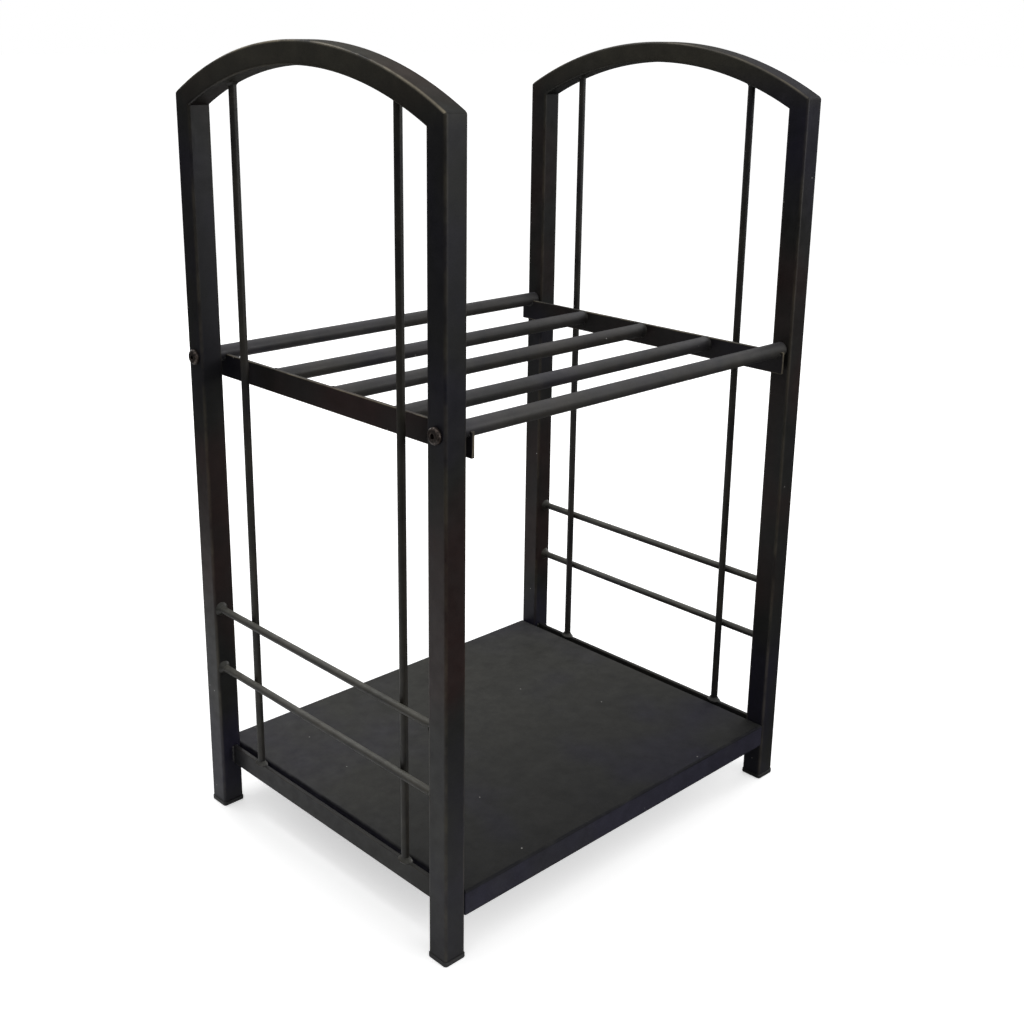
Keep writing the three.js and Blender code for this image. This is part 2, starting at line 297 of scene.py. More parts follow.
# Noise scales: larger is finer.
PATCH_SCALE = 7.0                    # tint patches
RUB_SCALE = 26.0                     # stretches of an edge that are rubbed more or less
MOTTLE_SCALE = 55.0
TOP_DUST_AND_LIGHT_SCALE = 75.0                    # patches in the thin dust and painted top light
GLOSS_SCALE = 90.0
SPECK_SCALE = 150.0                  # cells that may carry a speck of dust
PEEL_SCALE = 420.0                   # orange peel
GRAIN_SCALE = 1500.0                 # the coat's fine texture

DUST = rgb(0.42, 0.41, 0.39)
TOP_DUST_AND_LIGHT = rgb(0.40, 0.395, 0.345)       # thin dust and painted top light on faces that look up
COOL_TOP_DUST_AND_LIGHT = rgb(0.35, 0.345, 0.43)   # the same dust and painted top light on the slats, cooler
OLIVE_TOP_LIGHT = rgb(0.34, 0.31, 0.17)      # painted top light on the arches' tops, olive
BARE_AND_HIGHLIGHT = rgb(0.32, 0.275, 0.190)       # bronze where the coat is rubbed thin; along the arches' upper edges also a painted highlight
FOLD_SHADE = rgb(0.0040, 0.0040, 0.0062)  # painted shade: dark line along the tray's folds
ARCH_SIDE_LIGHT = rgb(0.0350, 0.0320, 0.0235)  # painted light on the arches' upright faces, lighter and a little more olive than the legs
SPECK_SIZE = 0.12                    # share of a cell
SPECK_CORE = 0.6                     # share of a speck that is full; the rest fades out
PEEL_RELIEF = 0.05 * MM
GRAIN_RELIEF = 0.02 * MM
RELIEF = 0.6

# Ranges, from and to, in which a coat changes, and the tones that it takes there.
COOL_TO_PLAIN = (0.36, 0.5)          # in the patches
PLAIN_TO_WARM = (0.52, 0.66)
MOTTLE_TONES = (0.82, 1.2)
FLECKS, FLECK_TONES = (NOISE_LOW, 0.72), (0.8, 1.3)
TOP_DUST_AND_LIGHT_TONES = (0.6, 1.1)
RUBBED = (0.36, 0.62)
RUBBED_SHINE = 0.12                  # rubbed edges are less rough by this
SPECK_PATCHES, SPECK_SHARES = (0.3, 0.6), (0.4, 1.0)  # specks show less on cool patches
SPECK_DULL = 0.3                     # and are rougher by this
SIDEWAYS = (0.4, 0.8)                # slopes from upright faces to level ones
CROWN_SLOPES, CROWN_DULL = (0.72, 0.88), 0.3  # the arches' tops are rougher than their sides
LIP_LIGHT_SLOPES, LIP_LIGHT_TONES = (0.0, 0.25), (1.5, 1.0)  # painted light: the tray's lips are lighter than its top
LIP_TINT_SLOPES, LIP_TINTS = (0.2, 0.8), (0.16, 0.0)  # and cooler
ROUGH_BELOW, ROUGH_ABOVE = 0.05, 0.09  # how far the roughness strays from its usual value

# Heights on the end frames, between which their tint and painted light change.
FOOT_HEIGHTS, FOOT_TINTS = (0.06, 0.2), (-0.1, 0.08)    # cool below, warm above
WAIST_HEIGHTS, WAIST_TINTS = (0.38, 0.52), (0.0, -0.08)  # less warm above
ARCH_SIDE_LIGHT_HEIGHTS = (0.635, 0.675)                          # the painted light on the arches' upright faces

TOP_DUST_AND_LIGHT_DEPTHS = (-0.165, 0.05)         # the tray's dust and painted top light grow between these, along Y, towards the back


def powder_coat(name, cool, plain, warm, gloss=0.4, grain=1.0, wear_and_light_amount=0.5, dust=0.05, level=0.3,
                dust_and_top_light=0.0, dust_and_top_light_from=0.1, dust_and_top_light_tint=TOP_DUST_AND_LIGHT, edge_wear_and_light_tint=BARE_AND_HIGHLIGHT,
                end_frame=False, tray=False):
    """Satin black powder coat: tint patches, fine grain, orange peel, rubbed edges, dust and
    painted top light, with painted highlights and shade on some edges.
    """
    n = Nodes(bpy.data.materials.new(name))
    upward = n.split(n.coords["Normal"])[2]
    _, depth, height = n.split(n.place)

    patches = n.noise(PATCH_SCALE, 2.0, 0.55, 3.7)
    if end_frame:
        patches = n.math("ADD", patches, n.remap(height, *FOOT_HEIGHTS, *FOOT_TINTS))
        patches = n.math("ADD", patches, n.remap(height, *WAIST_HEIGHTS, *WAIST_TINTS))
    if tray:
        patches = n.math("SUBTRACT", patches, n.remap(upward, *LIP_TINT_SLOPES, *LIP_TINTS))
    tint = n.blend(n.remap(patches, *COOL_TO_PLAIN), cool, plain)
    tint = n.blend(n.remap(patches, *PLAIN_TO_WARM), tint, warm)
    # painted light: the arches' upright faces are lighter and more olive
    if end_frame:
        sideways = n.remap(upward, *SIDEWAYS, 1.0, 0.0)
        arch_side_light = n.math("MULTIPLY", sideways, n.remap(height, *ARCH_SIDE_LIGHT_HEIGHTS))
        tint = n.blend(arch_side_light, tint, ARCH_SIDE_LIGHT)
    mottle = n.spread(n.noise(MOTTLE_SCALE, 3.0, 0.6, 1.3), *MOTTLE_TONES)
    grain_noise = n.noise(GRAIN_SCALE, 2.0, 0.6)
    tone = n.math("MULTIPLY", mottle, n.remap(grain_noise, *FLECKS, *FLECK_TONES))
    # painted light: the tray's lips are lighter than its top
    if tray:
        tone = n.math("MULTIPLY", tone, n.remap(upward, *LIP_LIGHT_SLOPES, *LIP_LIGHT_TONES))
    colour = n.blend(1.0, tint, n.grey(tone), "MULTIPLY")

    # dust and painted top light on faces that look up; on the tray they grow towards the back
    if dust_and_top_light:
        settled_and_lit = n.remap(upward, dust_and_top_light_from, 1.0, 0.0, dust_and_top_light)
        uneven = n.spread(n.noise(TOP_DUST_AND_LIGHT_SCALE, 4.0, 0.65, 9.4), *TOP_DUST_AND_LIGHT_TONES)
        settled_and_lit = n.math("MULTIPLY", settled_and_lit, uneven)
        if tray:
            settled_and_lit = n.math("MULTIPLY", settled_and_lit, n.remap(depth, *TOP_DUST_AND_LIGHT_DEPTHS))
        colour = n.blend(settled_and_lit, colour, dust_and_top_light_tint)
    # rubbed edges: bronze, which on the arches' upper edges is also a painted highlight; on the
    # tray the edge tint is painted shade
    rub = n.remap(n.noise(RUB_SCALE, 4.0, 0.65, 8.1), *RUBBED)
    rub = n.math("MULTIPLY", n.edges(), rub)
    rub = n.math("MULTIPLY", rub, wear_and_light_amount)
    colour = n.blend(rub, colour, edge_wear_and_light_tint)
    spot = n.specks(SPECK_SCALE, SPECK_SIZE, dust)
    spot = n.math("MULTIPLY", spot, n.remap(patches, *SPECK_PATCHES, *SPECK_SHARES))
    colour = n.blend(spot, colour, DUST)

    rough = n.noise(GLOSS_SCALE, 3.0, 0.6, 5.2)
    rough = n.spread(rough, gloss - ROUGH_BELOW, gloss + ROUGH_ABOVE)
    rough = n.math("SUBTRACT", rough, n.math("MULTIPLY", rub, RUBBED_SHINE))
    rough = n.math("ADD", rough, n.math("MULTIPLY", spot, SPECK_DULL))
    if end_frame:
        rough = n.math("ADD", rough, n.remap(upward, *CROWN_SLOPES, 0.0, CROWN_DULL))
    peel = n.bump(n.noise(PEEL_SCALE, 2.0, 0.5, 2.2), PEEL_RELIEF * grain, RELIEF)
    fine = n.bump(grain_noise, GRAIN_RELIEF * grain, RELIEF, peel)
    return n.finish(Base_Color=colour, Roughness=rough, Normal=fine, Specular_IOR_Level=level)


MARK_SCALE = 900.0                   # fine tool marks
BLOTCH_SCALE = 260.0                 # a metal's mottled tone
METAL_RUB_SCALE = 500.0
METAL_RUBBED = (0.4, 0.65)
BRIGHTER = 3.2                       # a metal's rubbed edges, times its lighter tone
MARK_RELIEF, MARK_STRENGTH = 0.03 * MM, 0.5
METAL_BELOW, METAL_ABOVE = 0.06, 0.12


def metal(name, low, high, gloss, metallic=1.0):
    """Plated or blackened steel with fine tool marks, a mottled tone and brighter edges."""
    n = Nodes(bpy.data.materials.new(name))
    marks = n.noise(MARK_SCALE, 4.0, 0.6)
    colour = n.blend(n.spread(n.noise(BLOTCH_SCALE, 3.0, 0.6, 4.4)), low, high)
    rub = n.remap(n.noise(METAL_RUB_SCALE, 2.0, 0.6, 6.6), *METAL_RUBBED)
    rub = n.math("MULTIPLY", n.edges(), rub)
    bright = rgb(*(min(1.0, BRIGHTER * share) for share in high[:3]))
    colour = n.blend(rub, colour, bright)
    rough = n.spread(marks, gloss - METAL_BELOW, gloss + METAL_ABOVE)
    relief = n.bump(marks, MARK_RELIEF, MARK_STRENGTH)
    return n.finish(Base_Color=colour, Roughness=rough, Normal=relief, Metallic=metallic)


PLASTIC_SCALE = 1300.0               # the plastic's moulded grain
PLASTIC_RELIEF = 0.04 * MM
SCUFF_SCALE = 140.0
SCUFFS = (0.5, 0.75)
SCUFF_STRENGTH = 0.5
PLAIN_ROUGH, SCUFFED_ROUGH = 0.5, 0.68


def moulded_plastic(name, low, high, scuffed):
    """Matte plastic with a fine grain and paler scuffs."""
    n = Nodes(bpy.data.materials.new(name))
    grain = n.noise(PLASTIC_SCALE, 3.0, 0.6)
    scuff = n.remap(n.noise(SCUFF_SCALE, 4.0, 0.7, 2.9), *SCUFFS)
    colour = n.blend(n.spread(grain), low, high)
    colour = n.blend(n.math("MULTIPLY", scuff, SCUFF_STRENGTH), colour, scuffed)
    rough = n.remap(scuff, 0.0, 1.0, PLAIN_ROUGH, SCUFFED_ROUGH)
    relief = n.bump(grain, PLASTIC_RELIEF, RELIEF)
    return n.finish(Base_Color=colour, Roughness=rough, Normal=relief)


# The coats' upward faces carry dust and painted top light, in the amount that each coat gives.
FRAME_COAT = powder_coat(
    "frame_coat",
    rgb(0.0086, 0.0078, 0.0155),
    rgb(0.0096, 0.0096, 0.0089),
    rgb(0.0180, 0.0092, 0.0082),
    wear_and_light_amount=0.95,
    dust=0.008,
    # painted top light, olive, on the arches' level crowns
    dust_and_top_light=0.06,
    dust_and_top_light_from=0.84,
    dust_and_top_light_tint=OLIVE_TOP_LIGHT,
    end_frame=True,
)
ROD_COAT = powder_coat(
    "rod_coat",
    rgb(0.0084, 0.0082, 0.0110),
    rgb(0.0098, 0.0096, 0.0090),
    rgb(0.0120, 0.0112, 0.0094),
    gloss=0.42,
    dust=0.02,
    level=0.35,
    # strong dust and painted top light on the rods' upper sides
    dust_and_top_light=0.27,
)
RAIL_COAT = powder_coat(
    "base_rail_coat",
    rgb(0.0110, 0.0108, 0.0125),
    rgb(0.0124, 0.0121, 0.0110),
    rgb(0.0140, 0.0132, 0.0112),
    gloss=0.45,
    wear_and_light_amount=0.1,
    dust=0.01,
)
WELD_COAT = powder_coat(
    "weld_coat",
    rgb(0.0190, 0.0186, 0.0200),
    rgb(0.0245, 0.0236, 0.0205),
    rgb(0.0300, 0.0265, 0.0190),
    gloss=0.38,
    grain=1.6,
    wear_and_light_amount=0.0,
    dust_and_top_light=0.1,
)
BAR_COAT = powder_coat(
    "shelf_bar_coat",
    rgb(0.0078, 0.0068, 0.0125),
    rgb(0.0092, 0.0074, 0.0070),
    rgb(0.0175, 0.0070, 0.0062),
    wear_and_light_amount=0.9,
    dust=0.03,
    dust_and_top_light=0.1,
    dust_and_top_light_from=0.6,
)
SHELF_COAT = powder_coat(
    "shelf_coat",
    rgb(0.0190, 0.0180, 0.0260),
    rgb(0.0200, 0.0198, 0.0198),
    rgb(0.0215, 0.0190, 0.0175),
    gloss=0.44,
    dust=0.02,
    level=0.5,
    dust_and_top_light=0.055,
    dust_and_top_light_tint=COOL_TOP_DUST_AND_LIGHT,
)
# The tray's edges carry painted shade instead of rubbed bronze, and its lips painted light.
TRAY_COAT = powder_coat(
    "tray_coat",
    rgb(0.0132, 0.0126, 0.0200),
    rgb(0.0152, 0.0152, 0.0149),
    rgb(0.0168, 0.0164, 0.0154),
    gloss=0.6,
    grain=0.6,
    wear_and_light_amount=1.6,
    dust=0.025,
    level=0.15,
    dust_and_top_light=0.068,
    edge_wear_and_light_tint=FOLD_SHADE,
    tray=True,
)
BLACK_STEEL = metal(
    "bolt_steel",
    rgb(0.016, 0.012, 0.011),
    rgb(0.034, 0.026, 0.022),
    gloss=0.34,
    metallic=0.6,
)
ZINC = metal("zinc_steel", rgb(0.42, 0.43, 0.44), rgb(0.58, 0.59, 0.60), gloss=0.3)
PLASTIC = moulded_plastic(
    "foot_plastic",
    rgb(0.0085, 0.0085, 0.009),
    rgb(0.014, 0.014, 0.014),
    rgb(0.035, 0.034, 0.033),
)

# ---------------------------------------------------------------- end frames

LEG_WEAR = 0.12                      # the arches' edges carry much more rubbed bronze than the legs, and a painted highlight,
LEFT_ARCH_WEAR_AND_HIGHLIGHT = 1.0                 # and the left one the most
RIGHT_ARCH_WEAR_AND_HIGHLIGHT = 0.4
HIGHLIGHT_LINE_FROM = 0.6                      # values below this are left out, which narrows the line of rubbed bronze and painted highlight
UNDER_WEAR_AND_HIGHLIGHT = 0.15                    # of the arches' lower edges, as a share of the upper ones
ROD_WEAR = 0.12
SHOULDER_ROUND = 3.0 * MM            # soft outer edge where an arch meets a leg
SHOULDER_REACH = 1.77 * MM           # how far it reaches from the mitre
SAW_EDGE = 0.21 * MM                 # the part of it that the saw cut takes away
ARCH_SOFTNESS = 0.9                  # how much of it the arch's side has
REACH_STEPS = (0.0, 0.2, 0.45, 0.75, 1.1, 1.45, 1.77)  # rings beside the mitre, in mm
LEG_LEVELS = (0.0, 0.001, 0.25, 0.5, 0.75, 0.97)       # a leg's rings, shares of its length
ROD_LEVELS = (0.0, 0.002, 0.25, 0.5, 0.75, 0.99, 1.0)
ARCH_RINGS = 72
ARCH_END = 5 * MM                    # from the mitre; the arch's even rings begin there
ROD_SIDES = 32


def rounding(distance, outward, half, radius):
    """How far an outer face sinks beside the mitre, at a distance from it."""
    weight = max(0.0, min(1.0, (outward - half + radius) / radius))
    if weight == 0.0 or distance >= SHOULDER_REACH:
        return 0.0
    run = SHOULDER_REACH - distance
    return weight * (SHOULDER_ROUND - math.sqrt(SHOULDER_ROUND**2 - run**2))


def leg(end, end_name, side, side_name):
    """Square tube, hollow, sawn to the mitre at the top."""
    outer = section(LEG, LEG, TUBE_CORNER)
    inner = section(LEG - 2 * TUBE_WALL, LEG - 2 * TUBE_WALL, TUBE_CORNER - TUBE_WALL)
    inner = [(u, v, 0.0) for u, v, _ in inner]
    bottom = LEG_LO.z
    length = INNER_SHOULDER - bottom

    def tube_ring(outline, level=None, below=None, soft=True):
        points = []
        for u, v, _ in outline:
            sink = 0.0
            if below is not None and soft:
                sink = rounding(max(below, SAW_EDGE), v, LEG / 2, TUBE_CORNER)
            y = LEG_Y + v - sink
            z = bottom + level * length if below is None else mitre_z(y) - below
            points.append((end * LEG_X + u, side * y, z))
        return points, [LEG_WEAR * wear_and_light_amount for _, _, wear_and_light_amount in outline]

    rings = [tube_ring(outer, level=level) for level in LEG_LEVELS]
    rings += [tube_ring(outer, below=step * MM) for step in reversed(REACH_STEPS)]
    rings += [tube_ring(inner, below=0.0, soft=False)]
    rings += [tube_ring(inner, level=level) for level in reversed(LEG_LEVELS)]
    shell = Shell()
    shell.stack(rings, closed=True)
    name = f"{end_name}_{side_name}_leg"
    shell.build(f"{name}_tube", FRAME_COAT, "frame_coat", name)


def mitre_angle(radius, gap):
    """Angle from the crown to the mitre for a line of the arch at a radius."""
    slant = math.hypot(1, MITRE_SLOPE)
    height = SHOULDER - HALF_DEPTH * MITRE_SLOPE + gap - ARCH_Z
    return math.acos(height / (radius * slant)) - math.atan(MITRE_SLOPE)


def arch(end, end_name):
    """Rectangular tube swept along the arch, sawn to the mitres at both ends."""
    outer = section(LEG, ARCH_DEPTH, TUBE_CORNER)
    inner = section(LEG - 2 * TUBE_WALL, ARCH_DEPTH - 2 * TUBE_WALL, TUBE_CORNER - TUBE_WALL)
    inner = [(u, v, 0.0) for u, v, _ in inner]
    middle = ARCH_RADIUS - ARCH_DEPTH / 2
    # the left arch carries the most rubbed bronze and painted highlight
    wear_and_light = LEFT_ARCH_WEAR_AND_HIGHLIGHT if end < 0 else RIGHT_ARCH_WEAR_AND_HIGHLIGHT
    ends = [step * MM for step in REACH_STEPS] + [ARCH_END]
    # Places along the arch: a turn from -1 to 1, and a distance from the mitre near its ends.
    places = [(-1, step) for step in ends]
    places += [(2 * i / ARCH_RINGS - 1, None) for i in range(1, ARCH_RINGS)]
    places += [(1, step) for step in reversed(ends)]

    def tube_ring(outline, turn, step, soft=True):
        points = []
        for u, v, _ in outline:
            sink = 0.0
            if step is not None and soft:
                run = max(step, SAW_EDGE)
                sink = ARCH_SOFTNESS * rounding(run, v, ARCH_DEPTH / 2, TUBE_CORNER)
            radius = middle + v - sink
            reach = mitre_angle(radius, GAP)
            if step is None:
                angle = turn * (reach - ARCH_END / radius)
            else:
                angle = turn * (reach - step / radius)
            y = radius * math.sin(angle)
            z = ARCH_Z + radius * math.cos(angle)
            points.append((end * LEG_X + u, y, z))
        # a line of rubbed bronze and painted highlight on the upper edges, a share of it on the
        # lower ones
        lines = [wear_and_light * max(0.0, wear_and_light_amount - HIGHLIGHT_LINE_FROM) / (1 - HIGHLIGHT_LINE_FROM) for _, _, wear_and_light_amount in outline]
        shares = [1 if v > 0 else UNDER_WEAR_AND_HIGHLIGHT for _, v, _ in outline]
        return points, [line * share for line, share in zip(lines, shares)]

    rings = [tube_ring(outer, *place) for place in places]
    rings += [tube_ring(inner, *place, soft=False) for place in reversed(places)]
    shell = Shell()
    shell.stack(rings, closed=True)
    shell.build(f"{end_name}_arch_tube", FRAME_COAT, "frame_coat", f"{end_name}_arch")


def frame_across(axis):
    """The unit vector along an axis and two across it."""
    axis = Vector(axis).normalized()
    side = axis.cross(Vector((0, 0, 1)))
    if side.length < 0.1:
        side = Vector((1, 0, 0))
    side.normalize()
    return axis, side, axis.cross(side).normalized()


def straight_rod(shell, start, end, radius, nudge=0.4 * MM):
    """Round bar with softly broken ends."""
    start, end = Vector(start), Vector(end)
    axis, a, b = frame_across(end - start)
    length = (end - start).length
    steps = [(0.0, radius - nudge), (nudge, radius), (length * 0.25, radius)]
    steps += [(length * 0.5, radius), (length * 0.75, radius)]
    steps += [(length - nudge, radius), (length, radius - nudge)]
    rings = []
    for run, size in steps:
        ring = [start + axis * run + a * u + b * v for u, v in circle(size, ROD_SIDES)]
        rings.append((ring, ROD_WEAR))
    shell.stack(rings)


def rods(end_name):
    """The cross rods and the upright rods of an end frame."""
    for level in ("lower", "upper"):
        node = f"{end_name}_{level}_cross_rod"
        lo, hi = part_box(node)
        x, z = (lo.x + hi.x) / 2, (lo.z + hi.z) / 2
        shell = Shell()
        straight_rod(shell, (x, lo.y - GAP, z), (x, hi.y + GAP, z), (hi.z - lo.z) / 2)
        shell.build(f"{node}_bar", ROD_COAT, "rod_coat", node)
    for _, side_name in SIDES:
        node = f"{end_name}_{side_name}_upright_rod"
        lo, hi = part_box(node)
        x, y = (lo.x + hi.x) / 2, (lo.y + hi.y) / 2
        radius = (hi.x - lo.x) / 2
        inside = ARCH_RADIUS - ARCH_DEPTH
        rings = []
        for share in ROD_LEVELS:
            ring = []
            for u, v in circle(radius, ROD_SIDES):
                top = ARCH_Z + math.sqrt((inside + GAP / 2) ** 2 - (y + v) ** 2)
                bottom = lo.z - GAP
                ring.append((x + u, y + v, bottom + share * (top - bottom)))
            rings.append((ring, ROD_WEAR))
        shell = Shell()
        shell.stack(rings)
        shell.build(f"{node}_bar", ROD_COAT, "rod_coat", node)


def flat_bar(shell, lo, hi, radius, top=None, count=8):
    """Flat bar along Y with rounded edges; top(y) may lower its upper edge."""
    edge_steps, edge_support = 3, 0.5 * MM
    stations = sorted({lo.y, lo.y + radius, hi.y - radius, hi.y}
                      | {lo.y + (hi.y - lo.y) * i / count for i in range(1, count)}
                      | set(top.stations if top else ()))
    rings = []
    for y in stations:
        ceiling = top(y) if top else hi.z
        inset = radius * 0.6 if y in (lo.y, hi.y) else 0.0
        width = hi.x - lo.x - 2 * inset
        height = ceiling - lo.z - 2 * inset
        corner = radius * 0.7 if inset else radius
        outline = section(width, height, corner, edge_steps, edge_support)
        middle = ((lo.x + hi.x) / 2, (lo.z + ceiling) / 2)
        ring = [(middle[0] + u, y, middle[1] + v) for u, v, _ in outline]
        rings.append((ring, [wear_and_light_amount for _, _, wear_and_light_amount in outline]))
    shell.stack(rings)


def base_rail(end_name):
    """Flat rail low between the legs of an end frame."""
    node = f"{end_name}_base_rail"
    lo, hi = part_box(node)
    lo.y -= GAP
    hi.y += GAP
    shell = Shell()
    flat_bar(shell, lo, hi, 0.5 * MM)
    shell.build(f"{node}_bar", RAIL_COAT, "frame_coat", node)


# -------------------------------------------------------------------- welds

# Fillet welds around rods: how far they spread on the face and climb up the rod.
CROSS_ROD_WELD = {"flare": 2.5 * MM, "height": 4.4 * MM}
FOOT_WELD = {"flare": 1.3 * MM, "height": 3.0 * MM, "stretch": (1.0, 1.45), "skirt": 1.8 * MM}
TOP_WELD = {"flare": 1.2 * MM, "height": 2.4 * MM}
SLAT_WELD = {"flare": 0.35 * MM, "height": 1.6 * MM}
WELD_PROFILE = (                     # share of the height, and how far off the rod it ends
    (1.0, -0.25 * MM),
    (0.62, 0.12 * MM),
    (0.34, 0.28 * MM),
    (0.16, 0.4 * MM),
    (0.0, 0.32 * MM),
)
WELD_SIDES = 30
LUMP_RING = 2.2                      # radius in mm of the circle on which a weld's lumps are read

RAIL_BEAD = 1.25 * MM                # radii of the beads
SADDLE_BEAD = 0.75 * MM
SEAM = 0.5 * MM
SEAM_INSET = 0.9 * SEAM              # how deep the middle of the mitre seam lies in the tube
RAIL_BEAD_POINTS = 26
BEAD_SIDES = 10
BEAD_END = 0.35                      # a bead's ends taper to this share of its radius
RIPPLE_PITCH = 0.55 * MM

FRAME_SEED, FRAME_SEED_STEP = 20, 10
SHELF_SEED = 60


def lump(place, seed, size=1.0):
    """Repeatable unevenness, about -1 to 1."""
    return noise.noise(Vector(place) / (size * MM) + Vector((seed * 7.3, seed * 3.1, seed)))


def weld_collar(shell, centre, axis, rod, seed, flare, height, stretch=(1.0, 1.0), slope=0.0,
                skirt=0.5 * MM):
    """Fillet weld around a rod that meets a face. The axis points away from the face."""
    axis, a, b = frame_across(axis)
    centre = Vector(centre)
    rings = []
    heights = [(height * share, extra + flare * (1 - share) ** 2)
               for share, extra in WELD_PROFILE]
    heights += [(-0.3 * skirt, flare * 0.96), (-skirt, flare * 0.5)]
    for up, out in heights:
        ring = []
        for u, v in circle(1.0, WELD_SIDES):
            around = Vector((u, v, 0.0)) * LUMP_RING * MM
            bulge = lump(around, seed, 2.0) * 0.22 + lump(around, seed + 5, 0.7) * 0.08
            reach = rod + out * (1 + bulge) if out > 0 else rod + out
            offset = a * (u * reach * stretch[0]) + b * (v * reach * stretch[1])
            climb = up + slope * offset.y
            ring.append(centre + offset + axis * climb)
        rings.append((ring, 0.0))
    shell.stack(rings)


def weld_bead(shell, path, radius, seed, closed=False, ripple=0.15):
    """Lumpy bead along a path of points."""
    path = [Vector(p) for p in path]
    count = len(path)
    rings = []
    run = 0.0
    for i, point in enumerate(path):
        before = path[i - 1] if closed or i else point
        after = path[(i + 1) % count] if closed or i < count - 1 else point
        _, a, b = frame_across(after - before)
        run += (point - before).length if i else 0.0
        wave = ripple * math.sin(run / RIPPLE_PITCH)
        size = radius * (1 + 0.25 * lump(point, seed, 2.5) + wave)
        if not closed and i in (0, count - 1):
            size *= BEAD_END
        rings.append(([point + a * u + b * v for u, v in circle(size, BEAD_SIDES)], 0.0))
    shell.stack(rings, closed=closed)


def between(start, end, count):
    """Evenly spaced points on a line."""
    start, end = Vector(start), Vector(end)
    return [start.lerp(end, i / (count - 1)) for i in range(count)]


def mitre_seam(shell, end, side, seed):
    """Ground weld line around the mitre: it barely stands proud of the tube."""
    width = LEG - 2 * SEAM_INSET
    path = []
    for u, v, _ in section(width, width, TUBE_CORNER, 4):
        y = LEG_Y + v - rounding(SAW_EDGE, v + SEAM_INSET, LEG / 2, TUBE_CORNER)
        path.append((end * LEG_X + u, side * y, mitre_z(y) + GAP / 2))
    weld_bead(shell, path, SEAM, seed, closed=True, ripple=0.0)


def frame_welds(end, end_name):
    """The fillets and beads of one end frame, and its ground mitre seams."""
    shell = Shell()
    seams = Shell()
    inside = ARCH_RADIUS - ARCH_DEPTH
    seed = FRAME_SEED + FRAME_SEED_STEP * end
    for side, side_name in SIDES:
        seed += 1
        mitre_seam(seams, end, side, seed)
        for level in ("lower", "upper"):
            seed += 1
            lo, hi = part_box(f"{end_name}_{level}_cross_rod")
            centre = ((lo.x + hi.x) / 2, side * INNER_Y, (lo.z + hi.z) / 2)
            rod = (hi.z - lo.z) / 2
            weld_collar(shell, centre, (0, -side, 0), rod, seed, **CROSS_ROD_WELD)
        lo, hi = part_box(f"{end_name}_{side_name}_upright_rod")
        x, y = (lo.x + hi.x) / 2, (lo.y + hi.y) / 2
        rod = (hi.x - lo.x) / 2
        foot = (x, y, lo.z - GAP)
        weld_collar(shell, foot, (0, 0, 1), rod, seed + 1, **FOOT_WELD)
        top = (x, y, ARCH_Z + math.sqrt(inside**2 - y**2))
        slope = y / math.sqrt(inside**2 - y**2)
        weld_collar(shell, top, (0, 0, -1), rod, seed + 2, slope=slope, **TOP_WELD)
        lo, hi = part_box(f"{end_name}_base_rail")
        for face in (lo.x, hi.x):
            seed += 1
            path = between((face, side * INNER_Y, lo.z + 1.5 * MM),
                           (face, side * INNER_Y, hi.z - 0.5 * MM), RAIL_BEAD_POINTS)
            weld_bead(shell, path, RAIL_BEAD, seed)
    shell.build(f"{end_name}_frame_welds", WELD_COAT, "frame_coat")
    seams.build(f"{end_name}_mitre_seams", FRAME_COAT, "frame_coat")


# -------------------------------------------------------------------- shelf

SLATS = ("front", "front_middle", "middle", "back_middle", "back")
SLAT_SIDES = 40
SLAT_WEAR = 0.1
SADDLE_STEPS = 20
SADDLE_FROM, SADDLE_SWEEP = 205, 110  # degrees around a slat that a saddle's bead covers
SADDLE_POINTS = 25
SADDLE_REACH = 0.15 * MM             # from the slat to the middle of the bead


def slat(name):
    """Round tube, open at both ends."""
    node = f"shelf_{name}_slat"
    lo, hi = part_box(node)
    radius = (hi.z - lo.z) / 2
    y, z = (lo.y + hi.y) / 2, (lo.z + hi.z) / 2
    bore = radius - TUBE_WALL
    break_edge = 0.2 * MM
    runs = [(lo.x, radius - break_edge), (lo.x + break_edge, radius)]
    runs += [(lo.x + (hi.x - lo.x) * i / 6, radius) for i in range(1, 6)]
    runs += [(hi.x - break_edge, radius), (hi.x, radius - break_edge)]
    runs += [(hi.x, bore), (0.0, bore), (lo.x, bore)]
    rings = []
    for x, size in runs:
        ring = [(x, y + u, z + v) for u, v in circle(size, SLAT_SIDES)]
        rings.append((ring, SLAT_WEAR if size > bore else 0.0))
    shell = Shell()
    shell.stack(rings, closed=True)
    shell.build(f"{node}_tube", SHELF_COAT, "shelf_coat", node)


class SaddledTop:
    """Upper edge of a side bar, with a round saddle under each bolted slat."""

    def __init__(self, ceiling, saddle_y, saddle_z, radius, length):
        self.ceiling = ceiling
        self.saddle_y = saddle_y
        self.saddle_z = saddle_z
        self.radius = radius
        reach = math.sqrt(radius**2 - (saddle_z - ceiling) ** 2)
        turns = [math.pi * i / SADDLE_STEPS for i in range(SADDLE_STEPS + 1)]
        spread = [reach * math.cos(turn) for turn in turns]
        both = [side * saddle_y + offset for side in (-1, 1) for offset in spread]
        self.stations = [y for y in both if abs(y) < length / 2]

    def __call__(self, y):
        offset = abs(abs(y) - self.saddle_y)
        if offset >= self.radius:
            return self.ceiling
        return min(self.ceiling, self.saddle_z - math.sqrt(self.radius**2 - offset**2))


